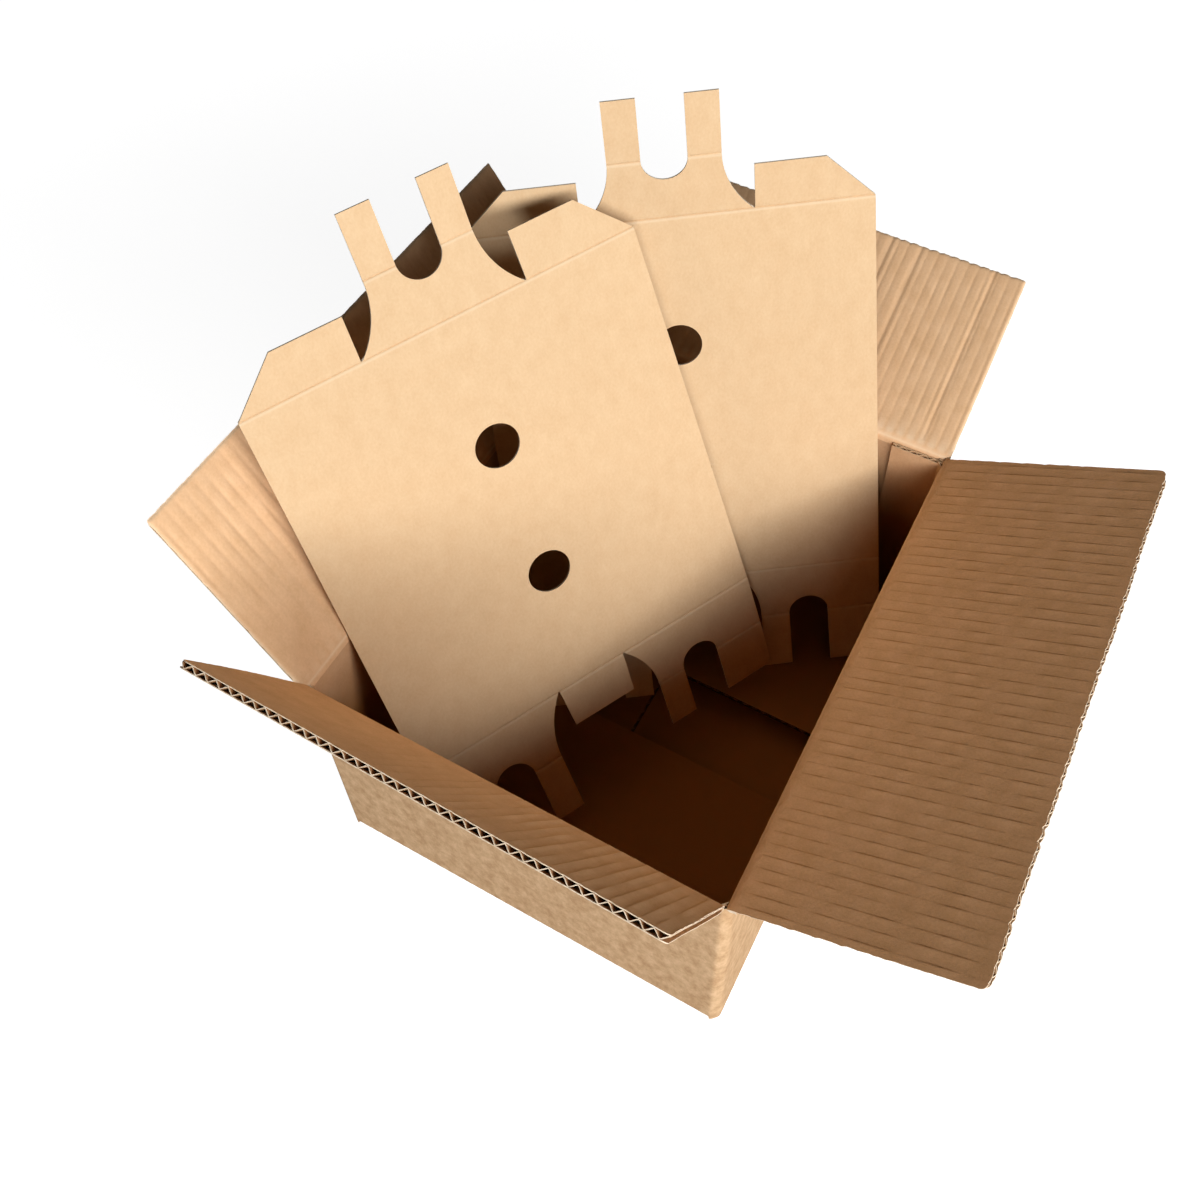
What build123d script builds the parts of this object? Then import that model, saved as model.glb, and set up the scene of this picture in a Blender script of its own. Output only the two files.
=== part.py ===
"""Wine shipping box: an open corrugated carton with two die-cut bottle inserts standing in it.

The carton is a regular slotted case, cut and folded from one sheet of single-wall board.  Its
bottom flaps are shut, the end flaps inside and the side flaps outside, and its four top flaps are
open.  X runs from the front end wall to the rear one, Y from the right side wall to the left one,
Z is up, and the origin is the centre of the base.
"""
import os
from math import atan2, cos, hypot, radians, sin

from build123d import *

os.makedirs("parts", exist_ok=True)

# Carton, in millimetres over the outside
carton_length = 340.0
carton_width = 277.0
fold_height = 186.0
board_thickness = 4.0
corner_radius = 4.0
inner_corner_radius = 1.0
bottom_fold_radius = 3.0
slot_width = 5.0
seam_gap = 0.6
glue_tab_width = 35.0
glue_tab_chamfer = 9.0
glue_tab_inset = 1.5

# Corrugated section of the top flaps
flap_depth = 140.5
flute_pitch = 7.4
liner_thickness = 0.5
medium_thickness = 0.4

# Top folds: a rounded fold edge, with the flap's crushed strip bevelled for its widest opening
fold_clearance = 0.3
widest_opening = 150.0

# How far each top flap is opened out from upright, in degrees
front_end_opening = 26.0
rear_end_opening = 68.0
right_side_opening = 63.0
left_side_opening = 32.0

# How far a top flap runs on past its slot's line: the slots are cut off the folds' middle
rear_end_overrun = 4.0
right_side_overrun = 2.5
left_side_overrun = 5.0

# Inserts: thin kraft board, for bottles laid head to tail
insert_width = 255.0
insert_length = 274.5
insert_thickness = 1.6
finger_hole_diameter = 29.0
finger_hole_spacing = 98.0
tongue_base_width = 107.0
centre_tab_width = 49.6
centre_tab_taper = 1.8
tab_height = 31.5
tab_chamfer = 30.5
crease_height = 42.0
prong_width = 20.2
prong_length = 42.0
neck_notch_width = 28.0
die_cut_width = 0.6
crease_width = 1.4
crease_depth = 0.4
seat_clearance = 0.2

# How each insert stands: turn from facing the right wall, lean, tilt and gap to the wall beside it
front_insert_turn = 31.1
front_insert_lean = 24.6
front_insert_tilt = 4.7
front_insert_gap = 19.9
rear_insert_turn = 57.9
rear_insert_lean = 19.7
rear_insert_tilt = 3.8
rear_insert_gap = 22.9

# Bends of the inserts at their creases, in degrees forward: a tongue's two, and each tab's
front_upper_bends = (-2.0, 7.0)
front_tab_bends = {-1: 8.0, 1: -4.0}
front_lower_bends = {1: (10.7, -3.0), -1: (-3.0, -3.0)}
rear_upper_bends = (14.0, -2.0)
rear_tab_bends = {-1: 13.0, 1: 13.0}
rear_lower_bends = {1: (14.0, 13.0), -1: (-1.0, 9.0)}

UP = Vector(0, 0, 1)
FRONT, REAR = Vector(-1, 0, 0), Vector(1, 0, 0)
RIGHT, LEFT = Vector(0, -1, 0), Vector(0, 1, 0)

half_length = carton_length / 2
half_width = carton_width / 2
half_board = board_thickness / 2
slot_inset = half_board + slot_width / 2
end_span = carton_width - 2 * slot_inset
side_span = carton_length - 2 * slot_inset
floor_level = 2 * board_thickness

# Each wall: outward direction, distance of its outer face, length between slots, level of its
# underside, and how far its bottom flap reaches in
walls = {
    "front_end": (FRONT, half_length, end_span, board_thickness, half_width),
    "rear_end": (REAR, half_length, end_span, board_thickness, half_width),
    "right_side": (RIGHT, half_width, side_span, 0, half_width - seam_gap / 2),
    "left_side": (LEFT, half_width, side_span, 0, half_width - seam_gap / 2),
}

# Carton: four walls bent over into the shut bottom flaps, with a rounded fold along each top edge
with BuildPart() as carton:
    corner_foot = board_thickness + bottom_fold_radius
    with BuildSketch(Plane.XY.offset(corner_foot)):
        RectangleRounded(carton_length, carton_width, corner_radius)
        RectangleRounded(
            carton_length - 2 * board_thickness,
            carton_width - 2 * board_thickness,
            inner_corner_radius,
            mode=Mode.SUBTRACT,
        )
    extrude(amount=fold_height - corner_foot)
    for outward, face, span, level, flap_reach in walls.values():
        rise = fold_height - level
        inward = outward * -1
        section = Plane(origin=outward * face + UP * level, x_dir=inward, z_dir=inward.cross(UP))
        with BuildSketch(section):
            with BuildLine():
                Line((0, rise), (0, bottom_fold_radius))
                CenterArc((bottom_fold_radius, bottom_fold_radius), bottom_fold_radius, 180, 90)
                Polyline(
                    (bottom_fold_radius, 0),
                    (flap_reach, 0),
                    (flap_reach, board_thickness),
                    (board_thickness, board_thickness),
                    (board_thickness, rise),
                )
                CenterArc((half_board, rise), half_board, 0, 180)
            make_face()
        extrude(amount=span / 2, both=True)
    # Glue tab of the right wall, lapped inside the rear wall
    tab_plane = Plane(
        origin=(half_length - board_thickness, board_thickness - half_width, 0),
        x_dir=LEFT,
        z_dir=REAR,
    )
    tab_foot = floor_level + glue_tab_inset
    tab_top = fold_height - glue_tab_inset
    with BuildSketch(tab_plane):
        Polygon(
            (0, tab_foot),
            (glue_tab_width, tab_foot + glue_tab_chamfer),
            (glue_tab_width, tab_top),
            (0, tab_top),
            align=None,
        )
    extrude(amount=-board_thickness)
carton.part.label = "carton"
export_step(carton.part, "parts/carton.step")


def make_flap(label, outward, face, slot_span, opening, overrun):
    """One top flap: liners on a fluted medium, open along the free edge and crushed at the fold."""
    along = UP.cross(outward)
    span = slot_span + abs(overrun)
    hinge = outward * (face - half_board) + along * (overrun / 2) + UP * fold_height
    reach = outward * sin(radians(opening)) + UP * cos(radians(opening))
    bevel = radians(180 - widest_opening)
    run = half_board + fold_clearance
    crease_start = (run - half_board * cos(bevel)) / sin(bevel)
    crush_end = (run + half_board * cos(bevel)) / sin(bevel)
    flutes = round(span / flute_pitch)
    pitch = span / flutes
    core = board_thickness - 2 * liner_thickness
    slope = atan2(core, pitch / 2)
    half_base = pitch / 2 - medium_thickness / 2 / sin(slope)
    crest = core / 2 - medium_thickness / 2 / cos(slope)
    with BuildPart() as flap:
        with BuildSketch(Plane(origin=hinge, x_dir=reach, z_dir=along)):
            Polygon(
                (crease_start, -half_board), (crush_end, -half_board), (crush_end, half_board), align=None
            )
        extrude(amount=span / 2, both=True)
        with BuildSketch(Plane(origin=hinge + reach * crush_end, x_dir=along, z_dir=reach)):
            Rectangle(span, board_thickness)
            with GridLocations(pitch, 0, flutes, 1):
                Polygon(
                    (-half_base, -core / 2), (half_base, -core / 2), (0, crest), align=None, mode=Mode.SUBTRACT
                )
            with GridLocations(pitch, 0, flutes - 1, 1):
                Polygon(
                    (half_base, core / 2), (-half_base, core / 2), (0, -crest), align=None, mode=Mode.SUBTRACT
                )
        extrude(amount=flap_depth - crush_end)
    flap.part.label = label
    export_step(flap.part, f"parts/{label}.step")


# Each top flap: its opening and its overrun, positive counterclockwise round the box from above
top_flaps = {
    "front_end": (front_end_opening, 0),
    "rear_end": (rear_end_opening, -rear_end_overrun),
    "right_side": (right_side_opening, -right_side_overrun),
    "left_side": (left_side_opening, left_side_overrun),
}
for wall_name, (opening_angle, flap_overrun) in top_flaps.items():
    wall_outward, wall_face, wall_span, _, _ = walls[wall_name]
    make_flap(f"{wall_name}_flap", wall_outward, wall_face, wall_span, opening_angle, flap_overrun)


def insert_stance(turn, lean, tilt):
    """Plane of an insert's panel about its lower fold, x along the fold and z out of its front."""
    across = Vector(cos(radians(turn)), -sin(radians(turn)), 0)
    level_front = Vector(-sin(radians(turn)), -cos(radians(turn)), 0)
    front = level_front * cos(radians(lean)) + UP * sin(radians(lean))
    upright = Plane(origin=(0, 0, 0), x_dir=across, z_dir=front)
    return Plane(upright.location * Location((0, 0, 0), (0, 0, tilt)))


def folded(plane, fold_x, fold_y, bend):
    """Plane of a piece bent forward by some degrees about a fold that lies across a plane."""
    return Plane(plane.location * Location((fold_x, fold_y, 0), (bend, 0, 0)))


# Insert outline, measured from the middle of a tongue
half_insert = insert_width / 2
half_sheet = insert_thickness / 2
notch_radius = neck_notch_width / 2
prong_outer = notch_radius + prong_width
lower_tongue_base = half_insert - centre_tab_width / 2
lower_tongue_centre = (half_insert + centre_tab_width / 2) / 2
outer_prong_width = lower_tongue_base / 2 - notch_radius
outer_prong_centre = notch_radius + outer_prong_width / 2


def tongue_planes(end, centre, bends):
    """Planes of a tongue and of its prongs, for its centre along an end fold and its two bends."""
    tongue = folded(end, centre, 0, bends[0])
    return tongue, folded(tongue, 0, crease_height, bends[1])


def lower_end(panel):
    """Plane at the panel's lower fold, turned so that y points down out of the panel."""
    return Plane(origin=panel.origin, x_dir=panel.x_dir * -1, z_dir=panel.z_dir)


def foot_drop(stance, lower_bends):
    """How far the lowest prong corner of a standing insert lies below its lower fold's middle."""
    heights = []
    for side, bends in lower_bends.items():
        _, prongs = tongue_planes(lower_end(stance), side * lower_tongue_centre, bends)
        for edge in (-side * prong_outer, -notch_radius, notch_radius, side * lower_tongue_base / 2):
            for skin in (-half_sheet, half_sheet):
                heights.append(prongs.from_local_coords((edge, prong_length, skin)).Z)
    return -min(heights)


def rim_run(stance, side, foot_height, outward):
    """How far the back of an insert's side edge runs outward from the fold middle to the rim."""
    corner = stance.x_dir * (side * half_insert) - stance.z_dir * half_sheet
    climb = (fold_height - foot_height - corner.Z) / stance.y_dir.Z
    slant = hypot(stance.y_dir.dot(outward), stance.y_dir.Z) / stance.y_dir.Z
    return (corner + stance.y_dir * climb).dot(outward) + (half_board + seat_clearance) * slant


def make_insert(label, panel, upper_bends, tab_bends, lower_bends):
    """One insert: a flat panel with neck tongues and tabs creased along both ends."""
    upper = folded(panel, 0, insert_length, 0)
    lower = lower_end(panel)
    tongues = [(upper, 0, tongue_base_width / 2 - die_cut_width, upper_bends, 0)]
    for side, bends in lower_bends.items():
        half_base = lower_tongue_base / 2 - die_cut_width
        tongues.append((lower, side * lower_tongue_centre, half_base, bends, side))
    creases = []
    with BuildPart() as insert:
        with BuildSketch(panel):
            with Locations((0, insert_length / 2)):
                Rectangle(insert_width, insert_length)
                with GridLocations(0, finger_hole_spacing, 1, 2):
                    Circle(finger_hole_diameter / 2, mode=Mode.SUBTRACT)
        extrude(amount=half_sheet, both=True)
        # A tongue flares out to its fold, and a lower one keeps straight along the blank's side edge
        for end, centre, half_base, bends, straight_side in tongues:
            tongue, prongs = tongue_planes(end, centre, bends)
            flare = half_base - prong_outer
            flare_radius = (flare**2 + crease_height**2) / (2 * flare)
            with BuildSketch(tongue):
                with BuildLine():
                    Line((-half_base, 0), (half_base, 0))
                    RadiusArc((half_base, 0), (prong_outer, crease_height), flare_radius)
                    Line((prong_outer, crease_height), (notch_radius, crease_height))
                    CenterArc((0, crease_height), notch_radius, 0, -180)
                    Line((-notch_radius, crease_height), (-prong_outer, crease_height))
                    RadiusArc((-prong_outer, crease_height), (-half_base, 0), flare_radius)
                make_face()
                if straight_side:
                    with Locations((straight_side * outer_prong_centre, 0)):
                        Rectangle(outer_prong_width, crease_height, align=(Align.CENTER, Align.MIN))
            extrude(amount=half_sheet, both=True)
            with BuildSketch(prongs):
                with GridLocations(prong_outer + notch_radius, 0, 2, 1):
                    Rectangle(prong_width, prong_length, align=(Align.CENTER, Align.MIN))
                if straight_side:
                    with Locations((straight_side * outer_prong_centre, 0)):
                        Rectangle(outer_prong_width, prong_length, align=(Align.CENTER, Align.MIN))
            extrude(amount=half_sheet, both=True)
            creases.append((prongs, 2 * half_base))
        for side, bend in tab_bends.items():
            inner = side * tongue_base_width / 2
            outer = side * half_insert
            with BuildSketch(folded(upper, 0, 0, bend)):
                Polygon(
                    (inner, 0),
                    (outer, 0),
                    (outer - side * tab_chamfer, tab_height),
                    (inner, tab_height),
                    align=None,
                )
            extrude(amount=half_sheet, both=True)
        with BuildSketch(lower):
            half_tab = centre_tab_width / 2
            Polygon(
                (-half_tab, 0),
                (half_tab, 0),
                (half_tab - centre_tab_taper, tab_height),
                (centre_tab_taper - half_tab, tab_height),
                align=None,
            )
        extrude(amount=half_sheet, both=True)
        # Score lines pressed into the front
        for fold, length in creases + [(upper, insert_width), (lower, insert_width)]:
            with BuildSketch(fold.offset(half_sheet - crease_depth)):
                Rectangle(length, crease_width)
            extrude(amount=insert_thickness, mode=Mode.SUBTRACT)
    insert.part.label = label
    export_step(insert.part, f"parts/{label}.step")


# Front insert: leans back on the left wall's rim, its feet on the bottom flaps
front_stance = insert_stance(front_insert_turn, front_insert_lean, front_insert_tilt)
front_foot = floor_level + seat_clearance + foot_drop(front_stance, front_lower_bends)
front_corner = front_stance.x_dir * half_insert
front_place = Vector(
    front_corner.X - (half_length - board_thickness) + front_insert_gap,
    half_width - half_board - rim_run(front_stance, -1, front_foot, LEFT),
    front_foot,
)
make_insert(
    "front_insert",
    Plane(origin=front_place, x_dir=front_stance.x_dir, z_dir=front_stance.z_dir),
    front_upper_bends,
    front_tab_bends,
    front_lower_bends,
)

# Rear insert: leans back on the rear wall's rim
rear_stance = insert_stance(rear_insert_turn, rear_insert_lean, rear_insert_tilt)
rear_foot = floor_level + seat_clearance + foot_drop(rear_stance, rear_lower_bends)
rear_corner = rear_stance.x_dir * half_insert
rear_place = Vector(
    half_length - half_board - rim_run(rear_stance, 1, rear_foot, REAR),
    board_thickness - half_width + rear_insert_gap - rear_corner.Y,
    rear_foot,
)
make_insert(
    "rear_insert",
    Plane(origin=rear_place, x_dir=rear_stance.x_dir, z_dir=rear_stance.z_dir),
    rear_upper_bends,
    rear_tab_bends,
    rear_lower_bends,
)
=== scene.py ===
from math import asin, atan2, cos, exp, pi, radians, sin, sqrt, tan

import bmesh
import bpy
from mathutils import Matrix, Vector, noise
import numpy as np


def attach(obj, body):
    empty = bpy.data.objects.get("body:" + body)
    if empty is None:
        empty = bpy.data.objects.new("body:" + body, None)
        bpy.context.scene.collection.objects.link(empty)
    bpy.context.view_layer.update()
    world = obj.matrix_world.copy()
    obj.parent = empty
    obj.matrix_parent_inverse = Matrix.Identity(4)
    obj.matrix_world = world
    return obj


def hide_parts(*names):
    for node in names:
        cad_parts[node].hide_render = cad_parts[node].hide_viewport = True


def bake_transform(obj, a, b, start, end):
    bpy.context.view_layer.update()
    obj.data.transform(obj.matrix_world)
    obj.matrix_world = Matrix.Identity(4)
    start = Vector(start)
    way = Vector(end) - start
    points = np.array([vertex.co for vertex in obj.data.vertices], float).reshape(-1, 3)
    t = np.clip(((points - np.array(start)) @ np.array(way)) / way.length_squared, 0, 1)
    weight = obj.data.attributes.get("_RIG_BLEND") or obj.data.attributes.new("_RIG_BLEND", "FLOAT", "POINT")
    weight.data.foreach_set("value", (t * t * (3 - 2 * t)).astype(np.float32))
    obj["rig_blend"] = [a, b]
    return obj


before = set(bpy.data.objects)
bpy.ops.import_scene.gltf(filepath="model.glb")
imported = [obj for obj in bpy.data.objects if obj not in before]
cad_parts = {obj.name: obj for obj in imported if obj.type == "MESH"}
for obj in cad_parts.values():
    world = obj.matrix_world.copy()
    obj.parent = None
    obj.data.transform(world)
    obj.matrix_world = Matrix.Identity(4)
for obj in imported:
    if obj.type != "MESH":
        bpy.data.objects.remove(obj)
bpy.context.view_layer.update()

# Carton walls and shut bottom: one sheet of single-wall corrugated board, slotted, creased and folded
# round four corners, with a glue tab lapped inside the rear wall. The board is two kraft liners on a
# fluted medium, and shows its flutes wherever it is cut. Lengths are in millimetres.
mm = 0.001
board = 4.0
half_board = board / 2
liner = 0.5
medium = liner * 0.8
medium_inset = liner * 1.3
flute_pitch = 7.4
fold_height = 186.0
end_line, side_line, tab_line = 168.0, 136.5, 164.0
rear_overrun = 1.1
tab_width = 35.0
tab_chamfer = 9.0
tab_inset = 1.5
corner_strip = 3.6
corner_bend = 2.4
corner_foot = 3.0
sunk_corner = 3.2
base_bend = 2.4
crease_reach = 5.0
bottom_reach = 133.6
seam_draw = 1.2
curl_start = 90.0
end_slot_width, end_slot_top = 2.5, 6.0

# Plan of the sheet's middle, from the glue tab's end round four flattened corners to the rear wall's end
tab_start = Vector((tab_line, tab_width + half_board - side_line))
sheet_end = side_line + rear_overrun
meetings = [
    (tab_line, -side_line), (-end_line, -side_line), (-end_line, side_line), (end_line, side_line)]
route = [tab_start] + [Vector(p) for p in meetings] + [Vector((end_line, -sheet_end))]
plan = [tab_start]
for before, meeting, after in zip(route, route[1:], route[2:]):
    plan.append(meeting + (before - meeting).normalized() * corner_strip)
    plan.append(meeting + (after - meeting).normalized() * corner_strip)
plan.append(route[-1])

# Straight runs and bends along the sheet: start, length, first point, heading and turn of each
runs, run_start = [], 0.0
headings = [(b - a).normalized() for a, b in zip(plan, plan[1:])]
turns = [a.angle(b) for a, b in zip(headings, headings[1:])] + [0.0]
trims = [0.0] + [corner_bend * tan(turn / 2) for turn in turns]
for i, heading in enumerate(headings):
    run_length = (plan[i + 1] - plan[i]).length - trims[i] - trims[i + 1]
    runs.append((run_start, run_length, plan[i] + heading * trims[i], heading, 0.0))
    run_start += run_length
    if turns[i]:
        bend_first = plan[i + 1] - heading * trims[i + 1]
        runs.append((run_start, corner_bend * turns[i], bend_first, heading, turns[i]))
        run_start += corner_bend * turns[i]

# Runs that are walls, each with the height of its bottom fold: the end flaps lie on the side flaps
tab_run, right_run, front_run, left_run, rear_run = 0, 4, 8, 12, 16
low_fold, high_fold = half_board, half_board + board
wall_levels = {
    tab_run: low_fold, right_run: low_fold, front_run: high_fold, left_run: low_fold, rear_run: high_fold}
# How far the free edges of the two end bottom flaps have curled up off the side ones
flap_curls = {front_run: 4.5, rear_run: 9.0}
# What rounding may leave between two places, and a hair's breadth to either side of a corner line
rounding = 1e-6
hair = 0.01


def run_at(u):
    """Number of the run that holds a place along the sheet."""
    for k in range(len(runs) - 1, -1, -1):
        if u >= runs[k][0] - rounding:
            return k
    return 0


def plan_at(u):
    """Plan point and outward direction at a place along the sheet."""
    start, _, first, heading, turn = runs[run_at(u)]
    outward = Vector((-heading.y, heading.x))
    if not turn:
        return first + heading * (u - start), outward
    swing = (u - start) / corner_bend
    spoke = outward * cos(swing) + heading * sin(swing)
    return first + (spoke - outward) * corner_bend, spoke


def folded_sheet(u, v, out):
    """Place of a point of the carton's sheet: along it, up it, and out from its middle."""
    point, outward = plan_at(u)
    wall = run_at(u - hair)
    if wall not in wall_levels:
        wall = run_at(u + hair)
    level = wall_levels.get(wall)
    past = 0.0 if level is None else level + base_bend - v
    if past <= 0:
        flat = point + outward * out
        return Vector((flat.x, flat.y, v))
    if past < base_bend * pi / 2:
        turn = past / base_bend
        inset = base_bend - (base_bend + out) * cos(turn)
        height = level + base_bend - (base_bend + out) * sin(turn)
    else:
        run = past - base_bend * pi / 2
        curled = max(0.0, (run - curl_start) / (bottom_reach - curl_start)) ** 2
        if wall not in flap_curls:
            run *= 1 - seam_draw / bottom_reach * (half_board - out) / board
        inset = base_bend + run
        height = level - out + flap_curls.get(wall, 0.0) * curled
    flat = point - outward * inset
    return Vector((flat.x, flat.y, height))


def spread(first, last, step):
    """Evenly spaced places from first to last, about one step apart."""
    count = max(1, round(abs(last - first) / step))
    return [first + (last - first) * i / count for i in range(count + 1)]


def keep_flat_places(bm):
    """Writes each corner's flat place, in metres, to the piece's UV map, and starts the wear and painted
    shade at none.
    """
    flat = bm.loops.layers.uv.verify()
    bm.verts.layers.float.new("wear_and_painted_shade")
    for face in bm.faces:
        for loop in face.loops:
            loop[flat].uv = (loop.vert.co.x * mm, loop.vert.co.y * mm)


def flat_sheet(columns, rows):
    """A flat grid through given columns and rows."""
    bm = bmesh.new()
    bmesh.ops.create_grid(bm, x_segments=len(columns) - 1, y_segments=len(rows) - 1, size=0.5)
    low = min(v.co.x for v in bm.verts)
    high = max(v.co.x for v in bm.verts)
    for v in bm.verts:
        across = (v.co.x - low) / (high - low)
        up = (v.co.y - low) / (high - low)
        v.co = (columns[round(across * (len(columns) - 1))], rows[round(up * (len(rows) - 1))], 0)
    keep_flat_places(bm)
    return bm


paper_edge = radians(38)


def board_piece(name, parts, thickness, materials):
    """One piece from several thin sheets, each made as thick as its paper, with cut edges for rims."""
    mesh = bpy.data.meshes.new(name)
    whole = bmesh.new()
    for bm, slot in parts:
        for face in bm.faces:
            face.material_index = slot
        part = bpy.data.meshes.new("part")
        bm.to_mesh(part)
        bm.free()
        whole.from_mesh(part)
        bpy.data.meshes.remove(part)
    whole.to_mesh(mesh)
    whole.free()
    piece = bpy.data.objects.new(name, mesh)
    bpy.context.scene.collection.objects.link(piece)
    for material in materials:
        mesh.materials.append(material)
    paper = piece.modifiers.new("paper", "SOLIDIFY")
    paper.thickness = thickness * mm
    paper.offset = 0.0
    paper.use_even_offset = False
    paper.material_offset_rim = len(materials) // 2
    bpy.context.view_layer.update()
    solid = bpy.data.meshes.new_from_object(piece.evaluated_get(bpy.context.evaluated_depsgraph_get()))
    piece.modifiers.clear()
    piece.data = solid
    solid.name = name
    bpy.data.meshes.remove(mesh)
    for polygon in solid.polygons:
        polygon.use_smooth = True
    solid.set_sharp_from_angle(angle=paper_edge)
    return piece


def linear(code):
    """Linear colour of an sRGB hex code."""
    parts = [int(code[i:i + 2], 16) / 255 for i in (1, 3, 5)]
    return tuple(p / 12.92 if p <= 0.04045 else ((p + 0.055) / 1.055) ** 2.4 for p in parts) + (1.0,)


def add(tree, kind, settings=None, **inputs):
    """Adds a node, sets its settings, and fills its inputs by value or by link."""
    made = tree.nodes.new(kind)
    for key, value in (settings or {}).items():
        setattr(made, key, value)
    for key, value in inputs.items():
        numbered = key[0] == "i" and key[1:].isdigit()
        socket = made.inputs[int(key[1:]) if numbered else key.replace("_", " ")]
        if isinstance(value, bpy.types.NodeSocket):
            tree.links.new(value, socket)
        else:
            socket.default_value = value
    return made


fibre_mm = 1.4
fibre_height = 0.2 * mm
pulp_stretch = (1.0, 1.0, 0.65)


def kraft(name, deep, pale, wear_and_shade_colour, cloud_mm, cloud_share, contrast, grain):
    """Kraft paper: brown pulp, cloudy where its fibres lie thicker, another colour where worn and where
    shade is painted on.
    """
    material = bpy.data.materials.new(name)
    material.use_nodes = True
    tree = material.node_tree
    shader = tree.nodes["Principled BSDF"]
    spot = add(tree, "ShaderNodeTexCoord").outputs["Object"]
    place = add(tree, "ShaderNodeMapping", Vector=spot, Scale=pulp_stretch).outputs[0]
    clouds = add(tree, "ShaderNodeTexNoise",
                 Vector=place, Scale=1 / mm / cloud_mm, Detail=3.0, Roughness=0.55).outputs["Fac"]
    fibres = add(tree, "ShaderNodeTexNoise",
                 Vector=place, Scale=1 / mm / fibre_mm, Detail=2.0, Roughness=0.6).outputs["Fac"]
    fine = add(tree, "ShaderNodeMath", {"operation": "MULTIPLY"}, i0=fibres, i1=1 - cloud_share)
    pulp = add(tree, "ShaderNodeMath", {"operation": "MULTIPLY_ADD"},
               i0=clouds, i1=cloud_share, i2=fine.outputs[0])
    tone = add(tree, "ShaderNodeMapRange", Value=pulp.outputs[0],
               From_Min=0.5 - 0.5 / contrast, From_Max=0.5 + 0.5 / contrast)
    paper = add(tree, "ShaderNodeMix", {"data_type": "RGBA"},
                i0=tone.outputs[0], i6=linear(deep), i7=linear(pale))
    # The wear attribute mixes in the worn colour; on the carton that colour is painted shade
    wear_and_painted_shade = add(tree, "ShaderNodeAttribute", {"attribute_name": "wear_and_painted_shade"})
    shown = add(tree, "ShaderNodeMix", {"data_type": "RGBA"},
                i0=wear_and_painted_shade.outputs["Fac"], i6=paper.outputs[2], i7=linear(wear_and_shade_colour))
    tree.links.new(shown.outputs[2], shader.inputs["Base Color"])
    bump = add(tree, "ShaderNodeBump", Height=fibres, Strength=grain, Distance=fibre_height)
    tree.links.new(bump.outputs["Normal"], shader.inputs["Normal"])
    shader.inputs["Roughness"].default_value = 0.85
    shader.inputs["Specular IOR Level"].default_value = 0.05
    return material


# Outer liner: a rough, mottled tan, the look of unbleached paper
outer_kraft = kraft(
    "kraft_outer_liner", "#BE9770", "#DDBA92", "#F0D9BC",
    cloud_mm=6.0, cloud_share=0.7, contrast=3.2, grain=0.6)
# Inner liner: smoother and warmer, so that its ribs stand out by light and shade
inner_kraft = kraft(
    "kraft_inner_liner", "#E2B689", "#F3C99E", "#FBE0BE",
    cloud_mm=12.0, cloud_share=0.6, contrast=2.6, grain=0.35)
# Fluted medium: a darker brown than the liners, partly painted shade that makes the flutes' hollows look
# deep
medium_kraft = kraft(
    "kraft_fluting_medium", "#A57E58", "#C09870", "#E0C4A2",
    cloud_mm=8.0, cloud_share=0.6, contrast=3.0, grain=0.4)
# Cut edge: pale torn fibres, the thin light lines along every edge
cut_kraft = kraft(
    "kraft_cut_edge", "#DDC4A4", "#F3E1C9", "#F3E1C9",
    cloud_mm=2.6, cloud_share=0.6, contrast=4.0, grain=0.5)
# Inside of the walls: the inner liner painted darker as shade, and darker still lower down with painted
# shade
inside_kraft = kraft(
    "kraft_inside_painted_shade", "#CDA178", "#DAB088", "#986434",
    cloud_mm=12.0, cloud_share=0.6, contrast=3.0, grain=0.35)
# Cut edges of the carton: pale at the rim, darkened towards the bottom with painted shade
cut_edge_painted_shade = kraft(
    "kraft_cut_edge_painted_shade", "#D2B088", "#E6C9A3", "#5E3A1C",
    cloud_mm=2.6, cloud_share=0.6, contrast=4.0, grain=0.5)
# Outside of the walls: mottled as on the flaps, with painted shade on the bottom flaps' underside, which
# shows between their flutes
outside_kraft = kraft(
    "kraft_outer_liner_of_carton", "#BE9770", "#DDBA92", "#70461F",
    cloud_mm=6.0, cloud_share=0.7, contrast=3.2, grain=0.6)
carton_finish = [outside_kraft, inside_kraft, inside_kraft, cut_edge_painted_shade, cut_edge_painted_shade, cut_edge_painted_shade]


def washboard(place, pitch=flute_pitch, narrow=4):
    """How far a liner is drawn in to the flutes it is glued to, from 0 to 1, at a place across them."""
    return (0.5 + 0.5 * cos(2 * pi * place / pitch)) ** narrow


flank_share = 0.95


def fluting(place, pitch=flute_pitch):
    """Height of the fluted medium from -1 to 1: straight flanks between narrow round tips."""
    return asin(flank_share * cos(2 * pi * place / pitch)) / asin(flank_share)


def clamped(share):
    """A share kept between 0 and 1."""
    return min(1.0, max(0.0, share))


def sheet_kept(u, v):
    """Whether the blank has board at a place: not in the corner slots, past the flaps or off the tab."""
    k = run_at(u)
    if k == tab_run:
        foot = 2 * board + tab_inset + tab_chamfer * (1 - u / tab_width)
        return foot < v < fold_height - tab_inset
    if k not in wall_levels:
        return corner_foot < v < fold_height - (sunk_corner if front_run < k < left_run else 0)
    if v > fold_height - crease_reach:
        return False
    in_end_slot = k == rear_run and u > runs[k][0] + runs[k][1] - end_slot_width and v < end_slot_top
    return not in_end_slot


bend_step = 0.7


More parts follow.
